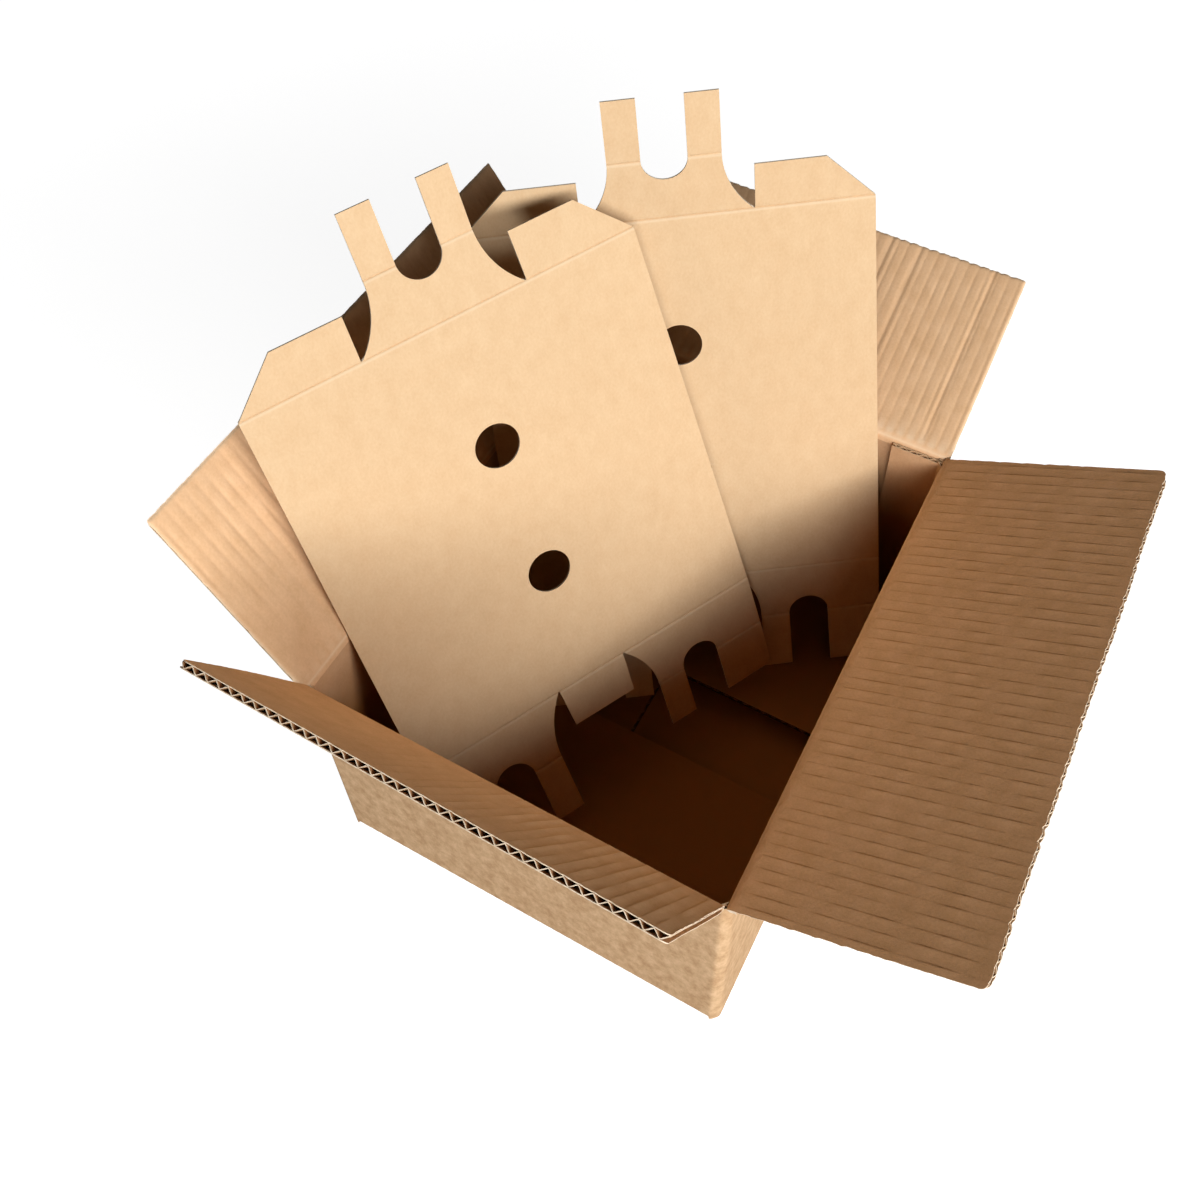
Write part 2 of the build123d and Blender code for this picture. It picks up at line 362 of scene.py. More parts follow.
def carton_sheet(step, out_at, rows, painted_shade_top, painted_shade_run):
    """One paper of the carton's board, cut to the blank's outline, given painted shade low down and folded.
    """
    columns = [0.0]
    for start, length, _, _, turn in runs:
        columns += spread(start, start + length, bend_step if turn else step)[1:]
    bm = flat_sheet(columns, rows)
    gone = []
    for face in bm.faces:
        centre = face.calc_center_median()
        if not sheet_kept(centre.x, centre.y):
            gone.append(face)
    bmesh.ops.delete(bm, geom=gone, context="FACES")
    wear_and_painted_shade = bm.verts.layers.float["wear_and_painted_shade"]
    for v in bm.verts:
        # Painted shade: the sheet darkens going down, inside the carton and on the underside of its bottom
        # flaps
        v[wear_and_painted_shade] = clamped((painted_shade_top - v.co.y) / painted_shade_run)
        v.co = folded_sheet(v.co.x, v.co.y, out_at(v.co.x, v.co.y)) * mm
    bmesh.ops.recalc_face_normals(bm, faces=bm.faces)
    return bm


# The scored board thickens by this much of the distance from a top fold, which lets a flap swing wide open
score_slope = 0.24


def pressed(from_fold):
    """How far the scoring wheel has pressed the outer side in, at a distance from a top fold."""
    return max(0.0, half_board - score_slope * from_fold)


draw_depth = 0.16
steady_draw = 0.6
patch_width, patch_height = 30.0, 60.0


def drawn_in(across, u, v, seed):
    """How far a wall's liner is drawn in at a place across the flutes, unevenly over the wall."""
    uneven = noise.noise((u / patch_width, v / patch_height, seed))
    return draw_depth * washboard(across) * (steady_draw + (1 - steady_draw) * uneven)


def outer_out(u, v):
    """Place of the outer liner from the board's middle."""
    score = pressed(max(crease_reach, fold_height - v))
    return half_board - liner / 2 - drawn_in(u, u, v, 1.0) - score


def inner_out(u, v):
    """Place of the inner liner from the board's middle: its glue lines lie half a flute along."""
    return liner / 2 - half_board + drawn_in(u + flute_pitch / 2, u, v, 4.0)


def medium_out(u, v):
    """Place of the fluted medium from the board's middle."""
    room = half_board - medium_inset
    return min(room - pressed(max(crease_reach, fold_height - v)), room * fluting(u))


# Rows up the sheet, from the bottom flaps' free edges to the top folds, close together at the folds
fold_low, fold_high, fold_step = -3.0, 11.0, 1.0
fold_rows = spread(fold_low, fold_high, fold_step)
top_rows = [fold_height - below for below in (crease_reach, sunk_corner, tab_inset, 0.0)]
liner_step, medium_step = 6.0, 12.0
liner_rows = spread(-bottom_reach, fold_low - fold_step, liner_step) + fold_rows
liner_rows += spread(19.0, 172.0, 9.0) + top_rows
medium_rows = spread(-bottom_reach, fold_low - fold_step, medium_step) + fold_rows
medium_rows += spread(50.0, 138.0, 44.0) + top_rows
# Where the painted shade starts, going down the sheet, and the run over which it deepens: inside the carton,
# and under its bottom flaps
inside_painted_shade = (fold_height - 8.0, 70.0)
under_painted_shade = (-20.0, 6.0)
outer_sheet = carton_sheet(flute_pitch / 4, outer_out, liner_rows, *under_painted_shade)
carton_outer = board_piece("carton_outer_liner", [(outer_sheet, 0)], liner, carton_finish)
inner_sheet = carton_sheet(flute_pitch / 4, inner_out, liner_rows, *inside_painted_shade)
carton_inner = board_piece("carton_inner_liner", [(inner_sheet, 1)], liner, carton_finish)
medium_sheet = carton_sheet(flute_pitch / 8, medium_out, medium_rows, *inside_painted_shade)
carton_medium = board_piece("carton_fluting", [(medium_sheet, 2)], medium, carton_finish)
for piece in (carton_outer, carton_inner, carton_medium):
    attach(piece, "box")
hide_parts("carton")

# Top flaps: four flaps of the same sheet, bent out along a crease where the flutes are crushed flat.
# Their inner liner shows the flutes as ribs, and their free edges are cut across the flutes and worn.
flap_depth = 140.5
UP = Vector((0, 0, 1))
# Inner liner of the right side flap, which lies in shade: a deeper brown, painted shade
inner_kraft_painted_shade = kraft(
    "kraft_inner_liner_painted_shade", "#DCA977", "#EEBA8A", "#F6D8B4",
    cloud_mm=12.0, cloud_share=0.6, contrast=2.6, grain=0.35)
# What sets the flaps apart. First come the wall's direction, the fold's distance, the flap's width, its
# shift along the fold and its opening from upright in degrees.
# - twist in degrees, taper at one end, bulge at the other
# - free edge: reach past the depth, blunt corners, bites between the flutes
# - crushed edge and ends, from 0 to 1, and how far the inner liner stands past the rest of the board there
# - ribs: depth (below 0 they stand up as ridges, steep one way), narrowness, length over which they vary,
#   fade from the fold, where along the fold they start and over what run they grow
# - bands pressed across the ribs (place and slant), and deep grooves along them (place and depth)
# - crease: how deep it is crushed, half its bend, and pale streaks beside it
flaps = {
    "front_end": {
        "outward": Vector((-1, 0, 0)), "line": end_line, "span": 268.0, "shift": 0.0, "opening": 26.0,
        "twist": 1.7, "taper": 0.0, "bulge": 2.5, "overreach": 0.6, "blunt": 4.0, "scallop": 0.0,
        "crushed": 0.0, "end_crushed": 0.0, "edge_lip": 0.0, "end_lip": 0.0, "liner": inner_kraft,
        "rib": -0.45, "steep_way": -1, "narrow": 0, "uneven_mm": 40.0, "fade": 6.0,
        "grow": (-70.0, 110.0), "bands": (), "grooves": (),
        "crush": 2.0, "bend": 2.4, "streaks": 0.0,
    },
    "rear_end": {
        "outward": Vector((1, 0, 0)), "line": end_line, "span": 272.0, "shift": -2.0, "opening": 68.0,
        "twist": 0.0, "taper": 9.0, "bulge": 0.0, "overreach": 0.2, "blunt": 2.0, "scallop": 1.0,
        "crushed": 1.0, "end_crushed": 1.0, "edge_lip": 1.6, "end_lip": 0.0, "liner": inner_kraft,
        "rib": 0.32, "steep_way": 1, "narrow": 4, "uneven_mm": 24.0, "fade": 7.0,
        "grow": (-400.0, 100.0), "bands": (), "grooves": ((-114.6, 0.75), (-60.8, 0.65), (-39.0, 0.75)),
        "crush": 0.6, "bend": 1.6, "streaks": 0.5,
    },
    "right_side": {
        "outward": Vector((0, -1, 0)), "line": side_line, "span": 333.5, "shift": -1.25, "opening": 63.0,
        "twist": 0.0, "taper": 0.0, "bulge": 0.0, "overreach": 2.2, "blunt": 5.0, "scallop": 0.7,
        "crushed": 0.0, "end_crushed": 0.0, "edge_lip": 0.0, "end_lip": 2.6, "liner": inner_kraft_painted_shade,
        "rib": -0.16, "steep_way": 1, "narrow": 0, "uneven_mm": 11.0, "fade": 9.0,
        "grow": (-400.0, 100.0), "bands": ((38.5, -0.022), (89.5, -0.027)), "grooves": (),
        "crush": 0.25, "bend": 0.9, "streaks": 0.0,
    },
    "left_side": {
        "outward": Vector((0, 1, 0)), "line": side_line, "span": 336.0, "shift": 2.5, "opening": 32.0,
        "twist": 0.0, "taper": 0.0, "bulge": 0.0, "overreach": 0.5, "blunt": 1.2, "scallop": 0.0,
        "crushed": 1.0, "end_crushed": 0.7, "edge_lip": 1.6, "end_lip": 0.0, "liner": inner_kraft,
        "rib": 0.42, "steep_way": 1, "narrow": 2, "uneven_mm": 18.0, "fade": 52.0,
        "grow": (-400.0, 100.0), "bands": (), "grooves": (),
        "crush": 0.6, "bend": 1.4, "streaks": 0.2,
    },
}


def bell(off, width, power=2):
    """1 in the middle, falling to nothing past a width to either side."""
    return exp(-((off / width) ** power))


# Free edges: lengths over which their reach, bites and fraying change, and depths of cut and fraying
reach_mm, bite_mm, fray_mm = 70.0, 11.0, 2.6
reach_change, least_bite, blunt_share = 0.6, 0.6, 0.8
cut_short, fray_depth = 0.3, 0.5


def flap_reach_at(s, at, seed):
    """Length of a flap at a place along its fold: blunt at its corners, scalloped and ragged."""
    from_end = at["span"] / 2 - abs(s)
    shortened = 0.0
    if from_end < at["blunt"]:
        shortened = at["blunt"] - sqrt(at["blunt"] ** 2 - (at["blunt"] - from_end) ** 2)
    bow = at["overreach"] * (1 + reach_change * noise.noise((s / reach_mm, seed, 2.5)))
    bite = least_bite + noise.noise((s / bite_mm, seed, 6.5))
    scallop = at["scallop"] * washboard(s, flute_pitch, 2) * bite
    ragged = fray_depth * abs(noise.noise((s / fray_mm, seed, 0.5)))
    return flap_depth - cut_short + bow - shortened * blunt_share - scallop - ragged


# Pressed bands: how far they wander and over what length, half their gap in the ribs, and their swelling
band_wander, band_wander_mm, band_gap = 2.0, 25.0, 3.6
band_swell, band_half = 0.06, 2.4


def from_band(s, t, band, seed):
    """How far a place on a flap lies past one of the pressed bands that cross its ribs."""
    place, slant = band
    return t - place - slant * s - band_wander * noise.noise((s / band_wander_mm, place, seed))


# Ribs: their usual and greatest share of the full depth, how much ridges and grooves differ, and how flat
# and how wide the calm strip at the free edge is
usual_rib, greatest_rib = 0.8, 1.3
ridge_change, groove_change, rib_stride = 1.7, 0.9, 1.7
edge_calm, edge_run = 0.7, 8.0


def rib_depth(s, t, at, seed):
    """How deep a flap's ribs are: uneven, fading towards the fold and free edge, broken by bands."""
    rib = round(s / flute_pitch)
    uneven = noise.noise((rib * rib_stride, t / at["uneven_mm"], seed))
    change = ridge_change if at["rib"] < 0 else groove_change
    depth = abs(at["rib"]) * min(greatest_rib, max(0.0, usual_rib + change * uneven))
    depth *= 1 - bell(t, at["fade"])
    depth *= clamped((s - at["grow"][0]) / at["grow"][1])
    depth *= 1 - edge_calm * bell(flap_depth - t, edge_run)
    for band in at["bands"]:
        depth *= 1 - bell(from_band(s, t, band, seed), band_gap, 4)
    return depth


steep_share, gentle_share = 0.075, 0.3


def ridge(s, pitch):
    """Height, from 0 to 1, of the ridges that flutes press through a liner: steep towards +s only."""
    off = (s / pitch + 0.5) % 1.0 - 0.5
    return bell(off, steep_share if off > 0 else gentle_share)


def flap_frame(at):
    """A flap's fold: the way along it, its middle, the way the flap reaches, and the flutes' count."""
    along = UP.cross(at["outward"])
    hinge = at["outward"] * at["line"] + along * at["shift"] + UP * fold_height
    opening = radians(at["opening"])
    reach = at["outward"] * sin(opening) + UP * cos(opening)
    return along, hinge, reach, round(at["span"] / flute_pitch)


# Wear of a flap's board: runs over which its edge and ends are crushed, streaked and cut askew
edge_crush_run, end_crush_run, crush_share = 1.1, 0.7, 0.8
worn_share, worn_change, worn_mm = 0.75, 0.6, 1.7
streak_run, groove_half, groove_room = 9.0, 1.5, 2.0
askew, askew_mm, askew_run = 0.6, 5.0, 2.5
liner_swell, swell_width, swell_height = 0.04, 9.0, 12.0
# Columns near a flap's ends and rows near its free edge, counted inwards, and steps between the rest
end_columns, end_run = (0.35, 0.7, 1.2), 2.0
edge_rows = [flap_depth - back for back in (1.9, 1.2, 0.7, 0.3, 0.0)]
edge_start, fine_step, coarse_step = 3.0, 3.0, 12.0
# Columns of a ridge, as shares of the pitch, closest on its steep side
ridge_shares = (-0.4, -0.27, -0.16, -0.08, -0.03, 0.01, 0.04, 0.07, 0.1, 0.13, 0.17, 0.28, 0.44)


def make_flap(name, seed):
    """A flap past its crease: outer liner, inner liner and fluted medium."""
    at = flaps[name]
    span, opening = at["span"], radians(at["opening"])
    along, hinge, reach, flutes = flap_frame(at)
    inside = UP * sin(opening) - at["outward"] * cos(opening)
    pitch = span / flutes
    inner_lift = half_board - liner / 2

    def edge_crush(s, t):
        """How far the board is crushed shut, from 0 to 1: at its ends, and at a worn free edge."""
        at_edge = at["crushed"] * bell(flap_depth - t, edge_crush_run)
        at_end = at["end_crushed"] * bell(span / 2 - abs(s), end_crush_run)
        return max(at_edge, at_end)

    def laid(bm, lift_at, behind=0.0):
        """Lays a paper on the flap, cut ragged and lifted off the board's middle; behind: under the lip."""
        wear_and_painted_shade = bm.verts.layers.float["wear_and_painted_shade"]
        for v in bm.verts:
            s, t = v.co.x, v.co.y
            share = (t - crease_reach) / (flap_depth - crease_reach)
            cut_reach = flap_reach_at(s, at, seed) - behind * at["edge_lip"]
            t_cut = crease_reach + share * (cut_reach - crease_reach)
            s_cut = s * (1 - behind * at["end_lip"] * 2 / span)
            s_cut -= at["taper"] * share * max(0.0, 2 * s / span) ** 6
            s_cut -= at["bulge"] * sin(pi * share) * max(0.0, -2 * s / span) ** 8
            near_end = max(0.0, 1 - (span / 2 - abs(s)) / askew_run)
            s_cut += askew * noise.noise((t / askew_mm, seed, 3.0)) * near_end
            sag = t * tan(radians(at["twist"]) * (0.5 + s / span))
            crushed = edge_crush(s, t)
            lift = lift_at(s, t) * (1 - crush_share * crushed)
            rubbed = worn_share + worn_change * noise.noise((s / worn_mm, t / worn_mm, seed))
            v[wear_and_painted_shade] = crushed * rubbed
            v[wear_and_painted_shade] += at["streaks"] * (1 - washboard(s, pitch, 2)) * bell(t, streak_run)
            v.co = (hinge + along * s_cut + reach * t_cut + inside * (lift - sag)) * mm
        bmesh.ops.recalc_face_normals(bm, faces=bm.faces)
        return bm

    def inner_at(s, t):
        """Inner liner: drawn in over the glue lines or ridged by them, pressed in along a few flutes."""
        depth = rib_depth(s, t, at, seed)
        lift = inner_lift + liner_swell * noise.noise((s / swell_width, t / swell_height, seed))
        if at["rib"] < 0:
            lift += depth * ridge(at["steep_way"] * s, pitch)
        else:
            lift -= depth * washboard(s, pitch, at["narrow"])
        for place, groove in at["grooves"]:
            lift -= groove * bell(s - place, groove_half) * (1 - bell(t, streak_run))
        for band in at["bands"]:
            lift += band_swell * bell(from_band(s, t, band, seed), band_half)
        return lift

    def outer_at(s, t):
        """Outer liner: fainter grooves, half a flute along from the inner ones."""
        groove = 0.5 * washboard(s + pitch / 2, pitch) * rib_depth(s, t, at, seed + 3.0)
        return pressed(t) + groove - inner_lift

    def medium_at(s, t):
        """Fluted medium, glued to the inner liner where that is grooved."""
        room = half_board - medium_inset - greatest_rib * max(0.0, at["rib"])
        lift = room * fluting(s, pitch)
        for place, groove in at["grooves"]:
            lift -= groove * bell(s - place, groove_room)
        return max(lift, pressed(t) + medium_inset - half_board)

    middle = span / 2 - end_run
    first_columns = [-span / 2] + [off - span / 2 for off in end_columns]
    last_columns = [span / 2 - off for off in end_columns[::-1]] + [span / 2]
    columns = first_columns + spread(-middle, middle, pitch / 8) + last_columns
    if at["rib"] < 0:
        shares = sorted(at["steep_way"] * share for share in ridge_shares)
        ridged = [(k + share) * pitch for k in range(-flutes, flutes) for share in shares]
        fine_columns = [s for s in ridged if abs(s) < middle]
    else:
        fine_columns = spread(-middle, middle, pitch / 10)
    fine_columns = first_columns + fine_columns + last_columns
    fine_rows = spread(crease_reach, flap_depth - edge_start, fine_step) + edge_rows
    coarse_rows = spread(crease_reach, flap_depth - edge_start, coarse_step) + edge_rows
    papers = [
        (laid(flat_sheet(columns, coarse_rows), outer_at, 1.0), 0),
        (laid(flat_sheet(fine_columns, fine_rows), inner_at), 1),
        (laid(flat_sheet(columns, coarse_rows[::3] + edge_rows[-1:]), medium_at, 1.0), 2),
    ]
    finish = [outer_kraft, at["liner"], medium_kraft, cut_kraft, cut_kraft, cut_kraft]
    flap = board_piece(f"{name}_flap_board", papers, liner, finish)
    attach(flap, f"{name}_flap")
    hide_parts(f"{name}_flap")


# Creases: step between rows, where the flat outer side starts, how far the strip stops before the corner
# strip and fills the sunk corner, its crushing, wear and unevenness
crease_step, outer_side = 0.8, 40.0
strip_gap, corner_fill = 1.0, 1.6
most_pressed, crush_half = 1.3, 2.0
fold_wear, fold_wear_half, streak_start = 0.6, 0.8, 3.0
unevenness, uneven_along, uneven_across = 0.12, 4.0, 3.0
crease_edge, end_facing = radians(50), 0.7


def make_crease(name, seed):
    """The crushed crease strip, which bends between the wall and the flap."""
    at = flaps[name]
    outward, span, bend = at["outward"], at["span"], at["bend"]
    along, hinge, reach, flutes = flap_frame(at)
    pitch = span / flutes
    opening = radians(at["opening"])
    radius = bend / tan(opening / 2)
    wall_half = (side_line if at["line"] == end_line else end_line) - corner_strip - strip_gap
    low_end = sheet_end if name == "rear_end" else wall_half
    high_end = wall_half + (corner_fill if name == "left_side" else 0.0)
    # The loop of rows runs up the inner side and back down the outer side
    side_rows = spread(-crease_reach, crease_reach, crease_step)
    all_rows = side_rows + [row + outer_side for row in side_rows]
    bm = flat_sheet(spread(-span / 2, span / 2, pitch / 6), all_rows)
    half_gap = outer_side / 2 - crease_reach
    between = [f for f in bm.faces if abs(f.calc_center_median().y - outer_side / 2) < half_gap]
    bmesh.ops.delete(bm, geom=between, context="FACES")
    wear_and_painted_shade = bm.verts.layers.float["wear_and_painted_shade"]
    inner_verts = set()
    for v in bm.verts:
        s, t = v.co.x, v.co.y
        inner_side = t < outer_side / 2
        t = t if inner_side else t - outer_side
        turn = opening * clamped((t + bend) / (2 * bend))
        if abs(t) <= bend:
            place = outward * (radius - radius * cos(turn)) + UP * (radius * sin(turn) - bend)
        else:
            place = UP * t if t < 0 else reach * t
        normal = UP * sin(turn) - outward * cos(turn)
        if inner_side:
            inner_verts.add(v)
            lift = half_board - at["crush"] * bell(t, crush_half)
            v[wear_and_painted_shade] = fold_wear * bell(t, fold_wear_half)
            v[wear_and_painted_shade] += at["streaks"] * (1 - washboard(s, pitch, 2)) * clamped(t / streak_start)
        else:
            lift = min(most_pressed, pressed(abs(t))) - half_board
        lift += unevenness * noise.noise((s / uneven_along, t / uneven_across, seed))
        if t < 0:
            s = max(-low_end - at["shift"], min(high_end - at["shift"], s))
        v.co = (hinge + along * s + place + normal * lift) * mm
    bmesh.ops.bridge_loops(bm, edges=[e for e in bm.edges if e.is_boundary])
    bmesh.ops.recalc_face_normals(bm, faces=bm.faces)
    for face in bm.faces:
        face.smooth = True
        face.material_index = 1 if all(v in inner_verts for v in face.verts) else 0
        if abs(face.normal.dot(along)) > end_facing:
            face.material_index = 3
    mesh = bpy.data.meshes.new(f"{name}_crease")
    bm.to_mesh(mesh)
    bm.free()
    for material in (outer_kraft, at["liner"], medium_kraft, cut_kraft, cut_kraft, cut_kraft):
        mesh.materials.append(material)
    mesh.set_sharp_from_angle(angle=crease_edge)
    crease = bpy.data.objects.new(f"{name}_crease", mesh)
    bpy.context.scene.collection.objects.link(crease)
    start = (hinge - UP * crease_reach) * mm
    end = (hinge + reach * crease_reach) * mm
    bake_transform(crease, "box", f"{name}_flap", start=start, end=end)


for number, flap_name in enumerate(flaps):
    make_flap(flap_name, 10.0 * number + 2.0)
    make_crease(flap_name, 10.0 * number + 2.0)

# Inserts: two die-cut blanks of smooth thin kraft board that part the bottles. Each is a panel with
# finger holes, neck tongues with two prongs, and tabs, creased along both ends. They stand loose,
# leaning on the rim.
insert_board = 1.2
half_insert = 127.5
insert_length = 274.5
notch_radius = 14.0
prong_outer = 34.2
crease_height = 42.0
prong_length = 42.0
tab_height = 31.5
tab_slant = 30.5
tongue_half = 53.5
centre_half = 24.8
centre_taper = 1.8
die_cut = 0.6
hole_radius = 14.5
hole_spacing = 98.0
bend_run = 2.4
false_crease = 28.5
lower_centre = (half_insert + centre_half) / 2
lower_half = (half_insert - centre_half) / 2
insert_folds = (0.0, insert_length, -crease_height, insert_length + crease_height)
# Insert board: even and smooth, with a faint cloudiness
insert_kraft = kraft(
    "kraft_smooth_insert", "#DDBA90", "#E7C8A0", "#F2DCBD",
    cloud_mm=9.0, cloud_share=0.5, contrast=2.4, grain=0.2)
# Its die-cut edge: a shade paler, a fine light line
insert_edge = kraft(
    "kraft_insert_cut_edge", "#EBD3B4", "#FBEEDC", "#FBEEDC",
    cloud_mm=3.0, cloud_share=0.6, contrast=3.0, grain=0.4)
# Middle of each insert's lower fold, how it stands in degrees, and the bends of its tongues and tabs
inserts = {
    "front_insert": {
        "foot": Vector((-35.047, 24.099, 87.651)),
        "turn": 31.1, "lean": 24.6, "tilt": 4.7,
        "upper": (-2.0, 7.0), "tabs": {-1: 8.0, 1: -4.0},
        "lower": {-1: (10.7, -3.0), 1: (-3.0, -3.0)},
    },
    "rear_insert": {
        "foot": Vector((69.665, -5.343, 82.751)),
        "turn": 57.9, "lean": 19.7, "tilt": 3.8,
        "upper": (14.0, -2.0), "tabs": {-1: 13.0, 1: 13.0},
        "lower": {-1: (14.0, 13.0), 1: (-1.0, 9.0)},
    },
}


def arc_points(bm, start, centre, degrees, steps):
    """A point swung round a centre: the vertices it leaves, in order."""
    first = bm.verts.new((start[0], start[1], 0))
    before = set(bm.verts)
    bmesh.ops.spin(
        bm, geom=[first], cent=(centre[0], centre[1], 0), axis=(0, 0, 1), angle=radians(degrees),
        steps=steps)
    swung = [v for v in bm.verts if v not in before]
    chain = [first]
    while swung:
        nearest = min(swung, key=lambda v: (v.co - chain[-1].co).length)
        swung.remove(nearest)
        chain.append(nearest)
    for edge in list(bm.edges):
        bm.edges.remove(edge)
    return chain


flare_steps, notch_steps, hole_steps = 12, 24, 48


def tongue_outline(bm, centre, base, half_base, way, straight=0):
    """Right to left outline of a tongue that stands on a fold, upwards (way 1) or downwards (way -1).

    Each side is flared out to the fold, but a straight one (right 1, left -1) keeps to the side edge.
    """
    flare = half_base - prong_outer
    radius = (flare**2 + crease_height**2) / (2 * flare)
    sweep = -atan2(crease_height, radius - flare) * 180 / pi * way
    crease = base + way * crease_height
    tip = crease + way * prong_length
    foot = {side: lower_half if side == straight else prong_outer for side in (-1, 1)}
    near, far = [], []
    if straight != 1:
        pivot = (centre + prong_outer + radius, crease)
        near = arc_points(bm, (centre + half_base, base), pivot, sweep, flare_steps)
    near += [bm.verts.new((centre + foot[1], tip, 0)), bm.verts.new((centre + notch_radius, tip, 0))]
    notch = arc_points(bm, (centre + notch_radius, crease), (centre, crease), -180 * way, notch_steps)
    if straight != -1:
        pivot = (centre - prong_outer - radius, crease)
        far = arc_points(bm, (centre - prong_outer, crease), pivot, sweep, flare_steps)
    tips = [bm.verts.new((centre - notch_radius, tip, 0)), bm.verts.new((centre - foot[-1], tip, 0))]
    return near + notch + tips + far


# Lines cut across the blank so that it can bend: beside each crease, and spaced over the panel
fold_offsets = (-2.6, -2.0, -1.5, -1.1, -0.75, -0.4, 0.0, 0.4, 0.75, 1.2, 2.4)
false_offsets = (-1.0, -0.4, 0.4, 1.0)
row_margin, row_step, column_margin, column_step = 12.0, 11.0, 1.0, 11.5
cut_rounding = 1e-4


def insert_blank():
    """The flat die-cut blank, with enough cross lines to bend it."""
    bm = bmesh.new()

    def point(x, y):
        """A corner of the outline."""
        return bm.verts.new((x, y, 0))

    top = insert_length
    tab_top = top + tab_height
    tab_side = half_insert - tab_slant
    outline = [point(half_insert, 0), point(half_insert, top), point(tab_side, tab_top)]
    outline += [point(tongue_half, tab_top), point(tongue_half, top)]
    outline += tongue_outline(bm, 0.0, top, tongue_half - die_cut, 1)
    outline += [point(-tongue_half, top), point(-tongue_half, tab_top)]
    outline += [point(-tab_side, tab_top), point(-half_insert, top), point(-half_insert, 0)]
    left = tongue_outline(bm, -lower_centre, 0.0, lower_half - die_cut, -1, straight=-1)
    right = tongue_outline(bm, lower_centre, 0.0, lower_half - die_cut, -1, straight=1)
    outline += left[::-1]
    outline += [point(-centre_half, 0), point(centre_taper - centre_half, -tab_height)]
    outline += [point(centre_half - centre_taper, -tab_height), point(centre_half, 0)]
    outline += right[::-1]
    edges = [bm.edges.new((a, b)) for a, b in zip(outline, outline[1:] + outline[:1])]
    for side in (-1, 1):
        ring = bmesh.ops.create_circle(bm, cap_ends=False, radius=hole_radius, segments=hole_steps)
        hole_middle = (0, insert_length / 2 + side * hole_spacing / 2, 0)
        bmesh.ops.translate(bm, verts=ring["verts"], vec=hole_middle)
        edges += {e for v in ring["verts"] for e in v.link_edges}
    bmesh.ops.triangle_fill(bm, use_beauty=True, edges=edges)
    rightward, upward = Vector((1, 0, 0)), Vector((0, 1, 0))
    lines = [(upward, fold + off) for fold in insert_folds for off in fold_offsets]
    lines += [(upward, top - false_crease + off) for off in false_offsets]
    lines += [(upward, y) for y in spread(row_margin, top - row_margin, row_step)]
    widest = half_insert - column_margin
    lines += [(rightward, x) for x in spread(-widest, widest, column_step)]
    for way, place in lines:
        everything = bm.verts[:] + bm.edges[:] + bm.faces[:]
        bmesh.ops.bisect_plane(
            bm, geom=everything, dist=cut_rounding, plane_co=way * place, plane_no=way)
    bmesh.ops.recalc_face_normals(bm, faces=bm.faces)
    if sum(f.normal.z for f in bm.faces) < 0:
        bmesh.ops.reverse_faces(bm, faces=bm.faces)
    keep_flat_places(bm)
    return bm


def bent(co, fold, way, degrees):
    """A point past a fold, turned towards the front by the fold's bend."""
    past = (co.y - fold) * way
    if past <= 0 or degrees == 0:
        return co
    angle = radians(degrees)
    radius = bend_run / angle
    turn = angle * min(1.0, past / bend_run)
    straight = max(0.0, past - bend_run)
    run = radius * sin(turn) + straight * cos(turn) - co.z * sin(turn)
    lift = radius * (1 - cos(turn)) + straight * sin(turn) + co.z * cos(turn)
    return Vector((co.x, fold + way * run, lift))


# Creases: depth and half width, and the rubbed band beside each one. Then the false crease, and the bow
score_depth, score_half = 0.8, 0.7
rubbed_share, rubbed_off, rubbed_half = 0.45, 1.3, 0.7
false_depth, false_half, false_reach = 0.14, 0.5, 60.0
bow_depth, bow_mm = 1.2, 150.0


def make_insert(name, seed):
    """One insert: the blank creased and bent a little, bowed, and stood in its place."""
    at = inserts[name]
    bm = insert_blank()
    wear_and_painted_shade = bm.verts.layers.float["wear_and_painted_shade"]
    turn, lean = radians(at["turn"]), radians(at["lean"])
    across = Vector((cos(turn), -sin(turn), 0))
    front = Vector((-sin(turn), -cos(turn), 0)) * cos(lean) + UP * sin(lean)
    stance = Matrix((across, front.cross(across), front)).transposed()
    stance = stance @ Matrix.Rotation(radians(at["tilt"]), 3, "Z")
    top = insert_length
    for v in bm.verts:
        x, y = v.co.x, v.co.y
        z = 0.0
        for fold in insert_folds:
            z -= score_depth * bell(y - fold, score_half)
            v[wear_and_painted_shade] += rubbed_share * bell(y - fold + rubbed_off, rubbed_half)
        faint = bell(x, false_reach, 4)
        z -= false_depth * faint * bell(y - top + false_crease, false_half)
        co = Vector((x, y, z))
        if y > top:
            if abs(x) < tongue_half - die_cut / 2:
                co = bent(co, top + crease_height, 1, at["upper"][1])
                co = bent(co, top, 1, at["upper"][0])
            else:
                co = bent(co, top, 1, at["tabs"][1 if x > 0 else -1])
        elif y < 0 and abs(x) > centre_half:
            bends = at["lower"][1 if x > 0 else -1]
            co = bent(co, -crease_height, -1, bends[1])
            co = bent(co, 0.0, -1, bends[0])
        if 0 < y < top:
            bulge = (1 - (x / half_insert) ** 2) * (1 - (2 * y / top - 1) ** 2)
            co.z += bow_depth * bulge * noise.noise((x / bow_mm, y / bow_mm, seed))
        v.co = (at["foot"] + stance @ co) * mm
    blank = board_piece(name + "_blank", [(bm, 0)], insert_board, [insert_kraft, insert_edge])
    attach(blank, "box")
    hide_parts(name)


for number, insert_name in enumerate(inserts):
    make_insert(insert_name, 7.0 * number + 1.0)

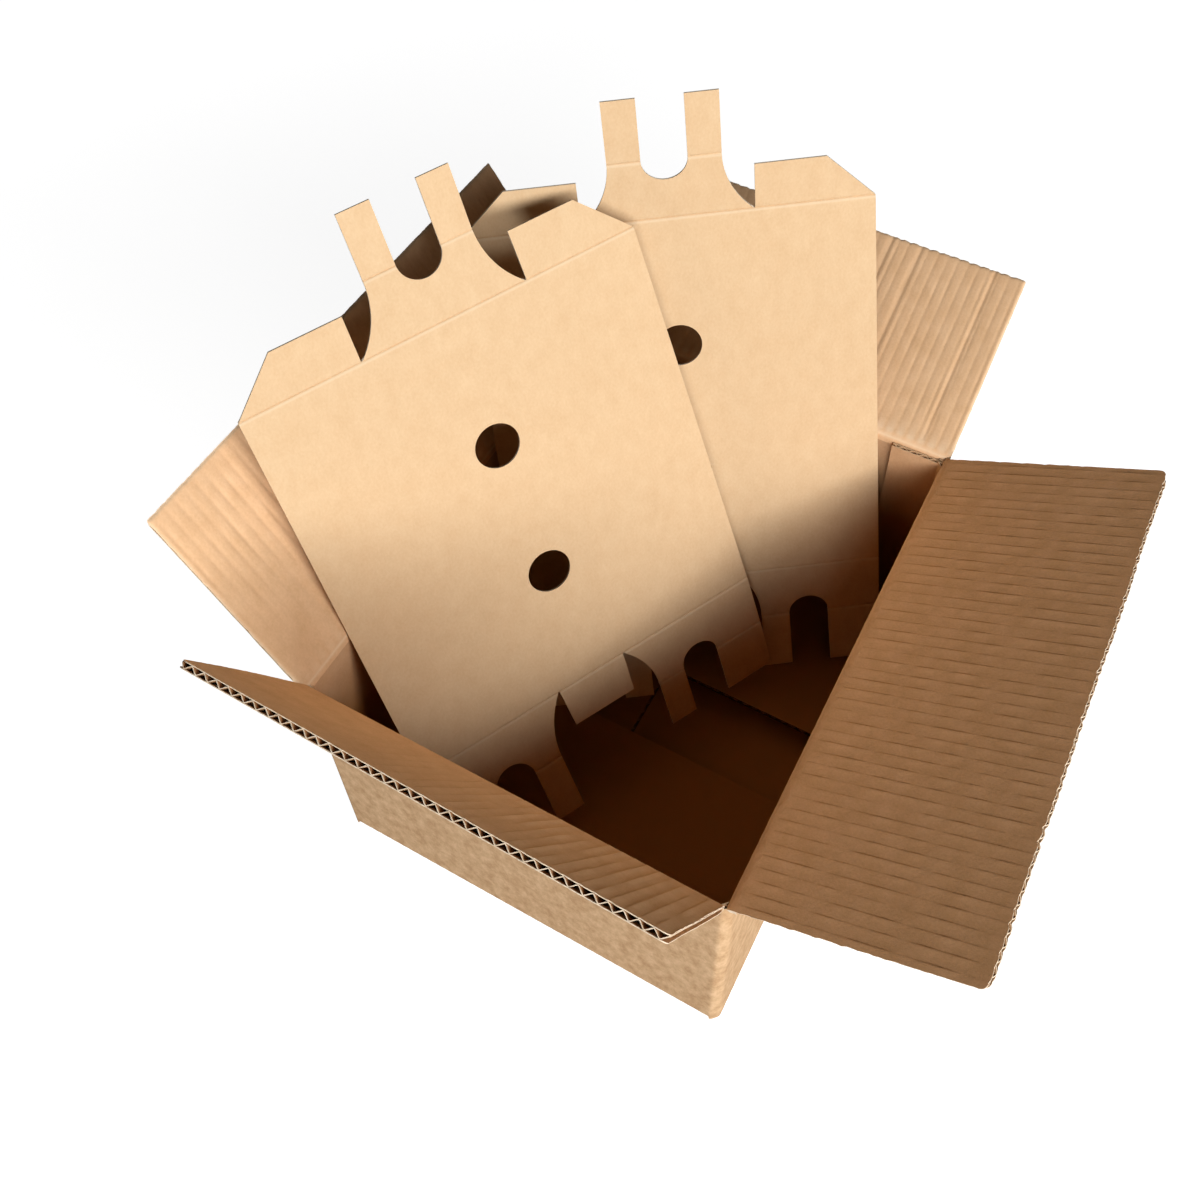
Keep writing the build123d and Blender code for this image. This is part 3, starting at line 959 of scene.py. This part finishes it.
# Floor and light: a pale studio floor that reads white, one broad low lamp on the right that leaves the
# carton's inside dark, a weak lamp from behind, and hardly any light from all round.
floor_half = 8.0
floor_mesh = bpy.data.meshes.new("floor")
bm = bmesh.new()
bmesh.ops.create_grid(bm, x_segments=1, y_segments=1, size=floor_half)
bm.to_mesh(floor_mesh)
bm.free()
floor = bpy.data.objects.new("floor", floor_mesh)
bpy.context.scene.collection.objects.link(floor)


def seen_straight(tree):
    """1 where a surface is seen straight, mirrored or through glass, 0 where it only lights others."""
    path = add(tree, "ShaderNodeLightPath").outputs
    direct = add(tree, "ShaderNodeMath", i0=path["Is Camera Ray"], i1=path["Is Glossy Ray"])
    seen = add(tree, "ShaderNodeMath", i0=direct.outputs[0], i1=path["Is Transmission Ray"])
    return seen.outputs[0]


# White paper floor: takes the carton's soft shadow, and looks white where no shadow falls
floor_paint = bpy.data.materials.new("floor_white_paper")
floor_paint.use_nodes = True
tree = floor_paint.node_tree
tree.nodes.clear()
paint = add(tree, "ShaderNodeBsdfDiffuse", Color=linear("#BCBCBC"))
glow = add(tree, "ShaderNodeMath", {"operation": "MULTIPLY"}, i0=seen_straight(tree), i1=0.88)
lift = add(tree, "ShaderNodeEmission", Strength=glow.outputs[0])
both = add(tree, "ShaderNodeAddShader", i0=paint.outputs[0], i1=lift.outputs[0])
add(tree, "ShaderNodeOutputMaterial", Surface=both.outputs[0])
floor_mesh.materials.append(floor_paint)

world = bpy.data.worlds.new("studio")
bpy.context.scene.world = world
world.use_nodes = True
tree = world.node_tree
tree.nodes.clear()
fill = add(tree, "ShaderNodeBackground", Color=linear("#FFFFFF"), Strength=0.009)
white = add(tree, "ShaderNodeBackground", Color=linear("#FFFFFF"), Strength=1.0)
shown = add(tree, "ShaderNodeMixShader", i0=seen_straight(tree), i1=fill.outputs[0], i2=white.outputs[0])
add(tree, "ShaderNodeOutputWorld", Surface=shown.outputs[0])

lamp_target = Vector((0, 0, 0.2))
lamp_distance = 2.2


def lamp(name, width, height, power, azimuth, elevation):
    """A soft box that faces the carton from a direction in degrees, the azimuth counted from +X."""
    data = bpy.data.lights.new(name, "AREA")
    data.shape = "RECTANGLE"
    data.size = width
    data.size_y = height
    data.energy = power
    made = bpy.data.objects.new(name, data)
    turn, rise = radians(azimuth), radians(elevation)
    towards = Vector((cos(turn) * cos(rise), sin(turn) * cos(rise), sin(rise)))
    made.location = lamp_target + towards * lamp_distance
    made.rotation_mode = "QUATERNION"
    made.rotation_quaternion = (-towards).to_track_quat("-Z", "Y")
    bpy.context.scene.collection.objects.link(made)


lamp("key_lamp", width=3.36, height=0.52, power=79.0, azimuth=-126.0, elevation=28.0)
lamp("rear_lamp", width=1.6, height=0.3, power=4.0, azimuth=50.0, elevation=6.0)

# Camera: stands where the photographer stood, high before the front corner. Its focal length and the
# middle of its view are in the photo's pixels, as fitted to the carton's corners.
photo_size = 1200.0
focal_length = 1328.18
view_across, view_down = 640.26, 378.45
sensor = 36.0
camera_data = bpy.data.cameras.new("camera")
camera_data.sensor_width = sensor
camera_data.lens = sensor * focal_length / photo_size
camera_data.shift_x = (photo_size / 2 - view_across) / photo_size
camera_data.shift_y = (view_down - photo_size / 2) / photo_size
camera = bpy.data.objects.new("camera", camera_data)
azimuth, elevation, roll = radians(-61.549), radians(48.4154), radians(-0.3478)
back = Vector((sin(azimuth) * cos(elevation), -cos(azimuth) * cos(elevation), sin(elevation)))
upright = (-back).to_track_quat("-Z", "Y")
camera.rotation_mode = "QUATERNION"
camera.rotation_quaternion = upright @ Matrix.Rotation(roll, 3, "Z").to_quaternion()
camera.location = Vector((-407.9, -216.6, 881.6)) * mm
bpy.context.scene.collection.objects.link(camera)
bpy.context.scene.camera = camera
bpy.context.scene.view_settings.view_transform = "Standard"
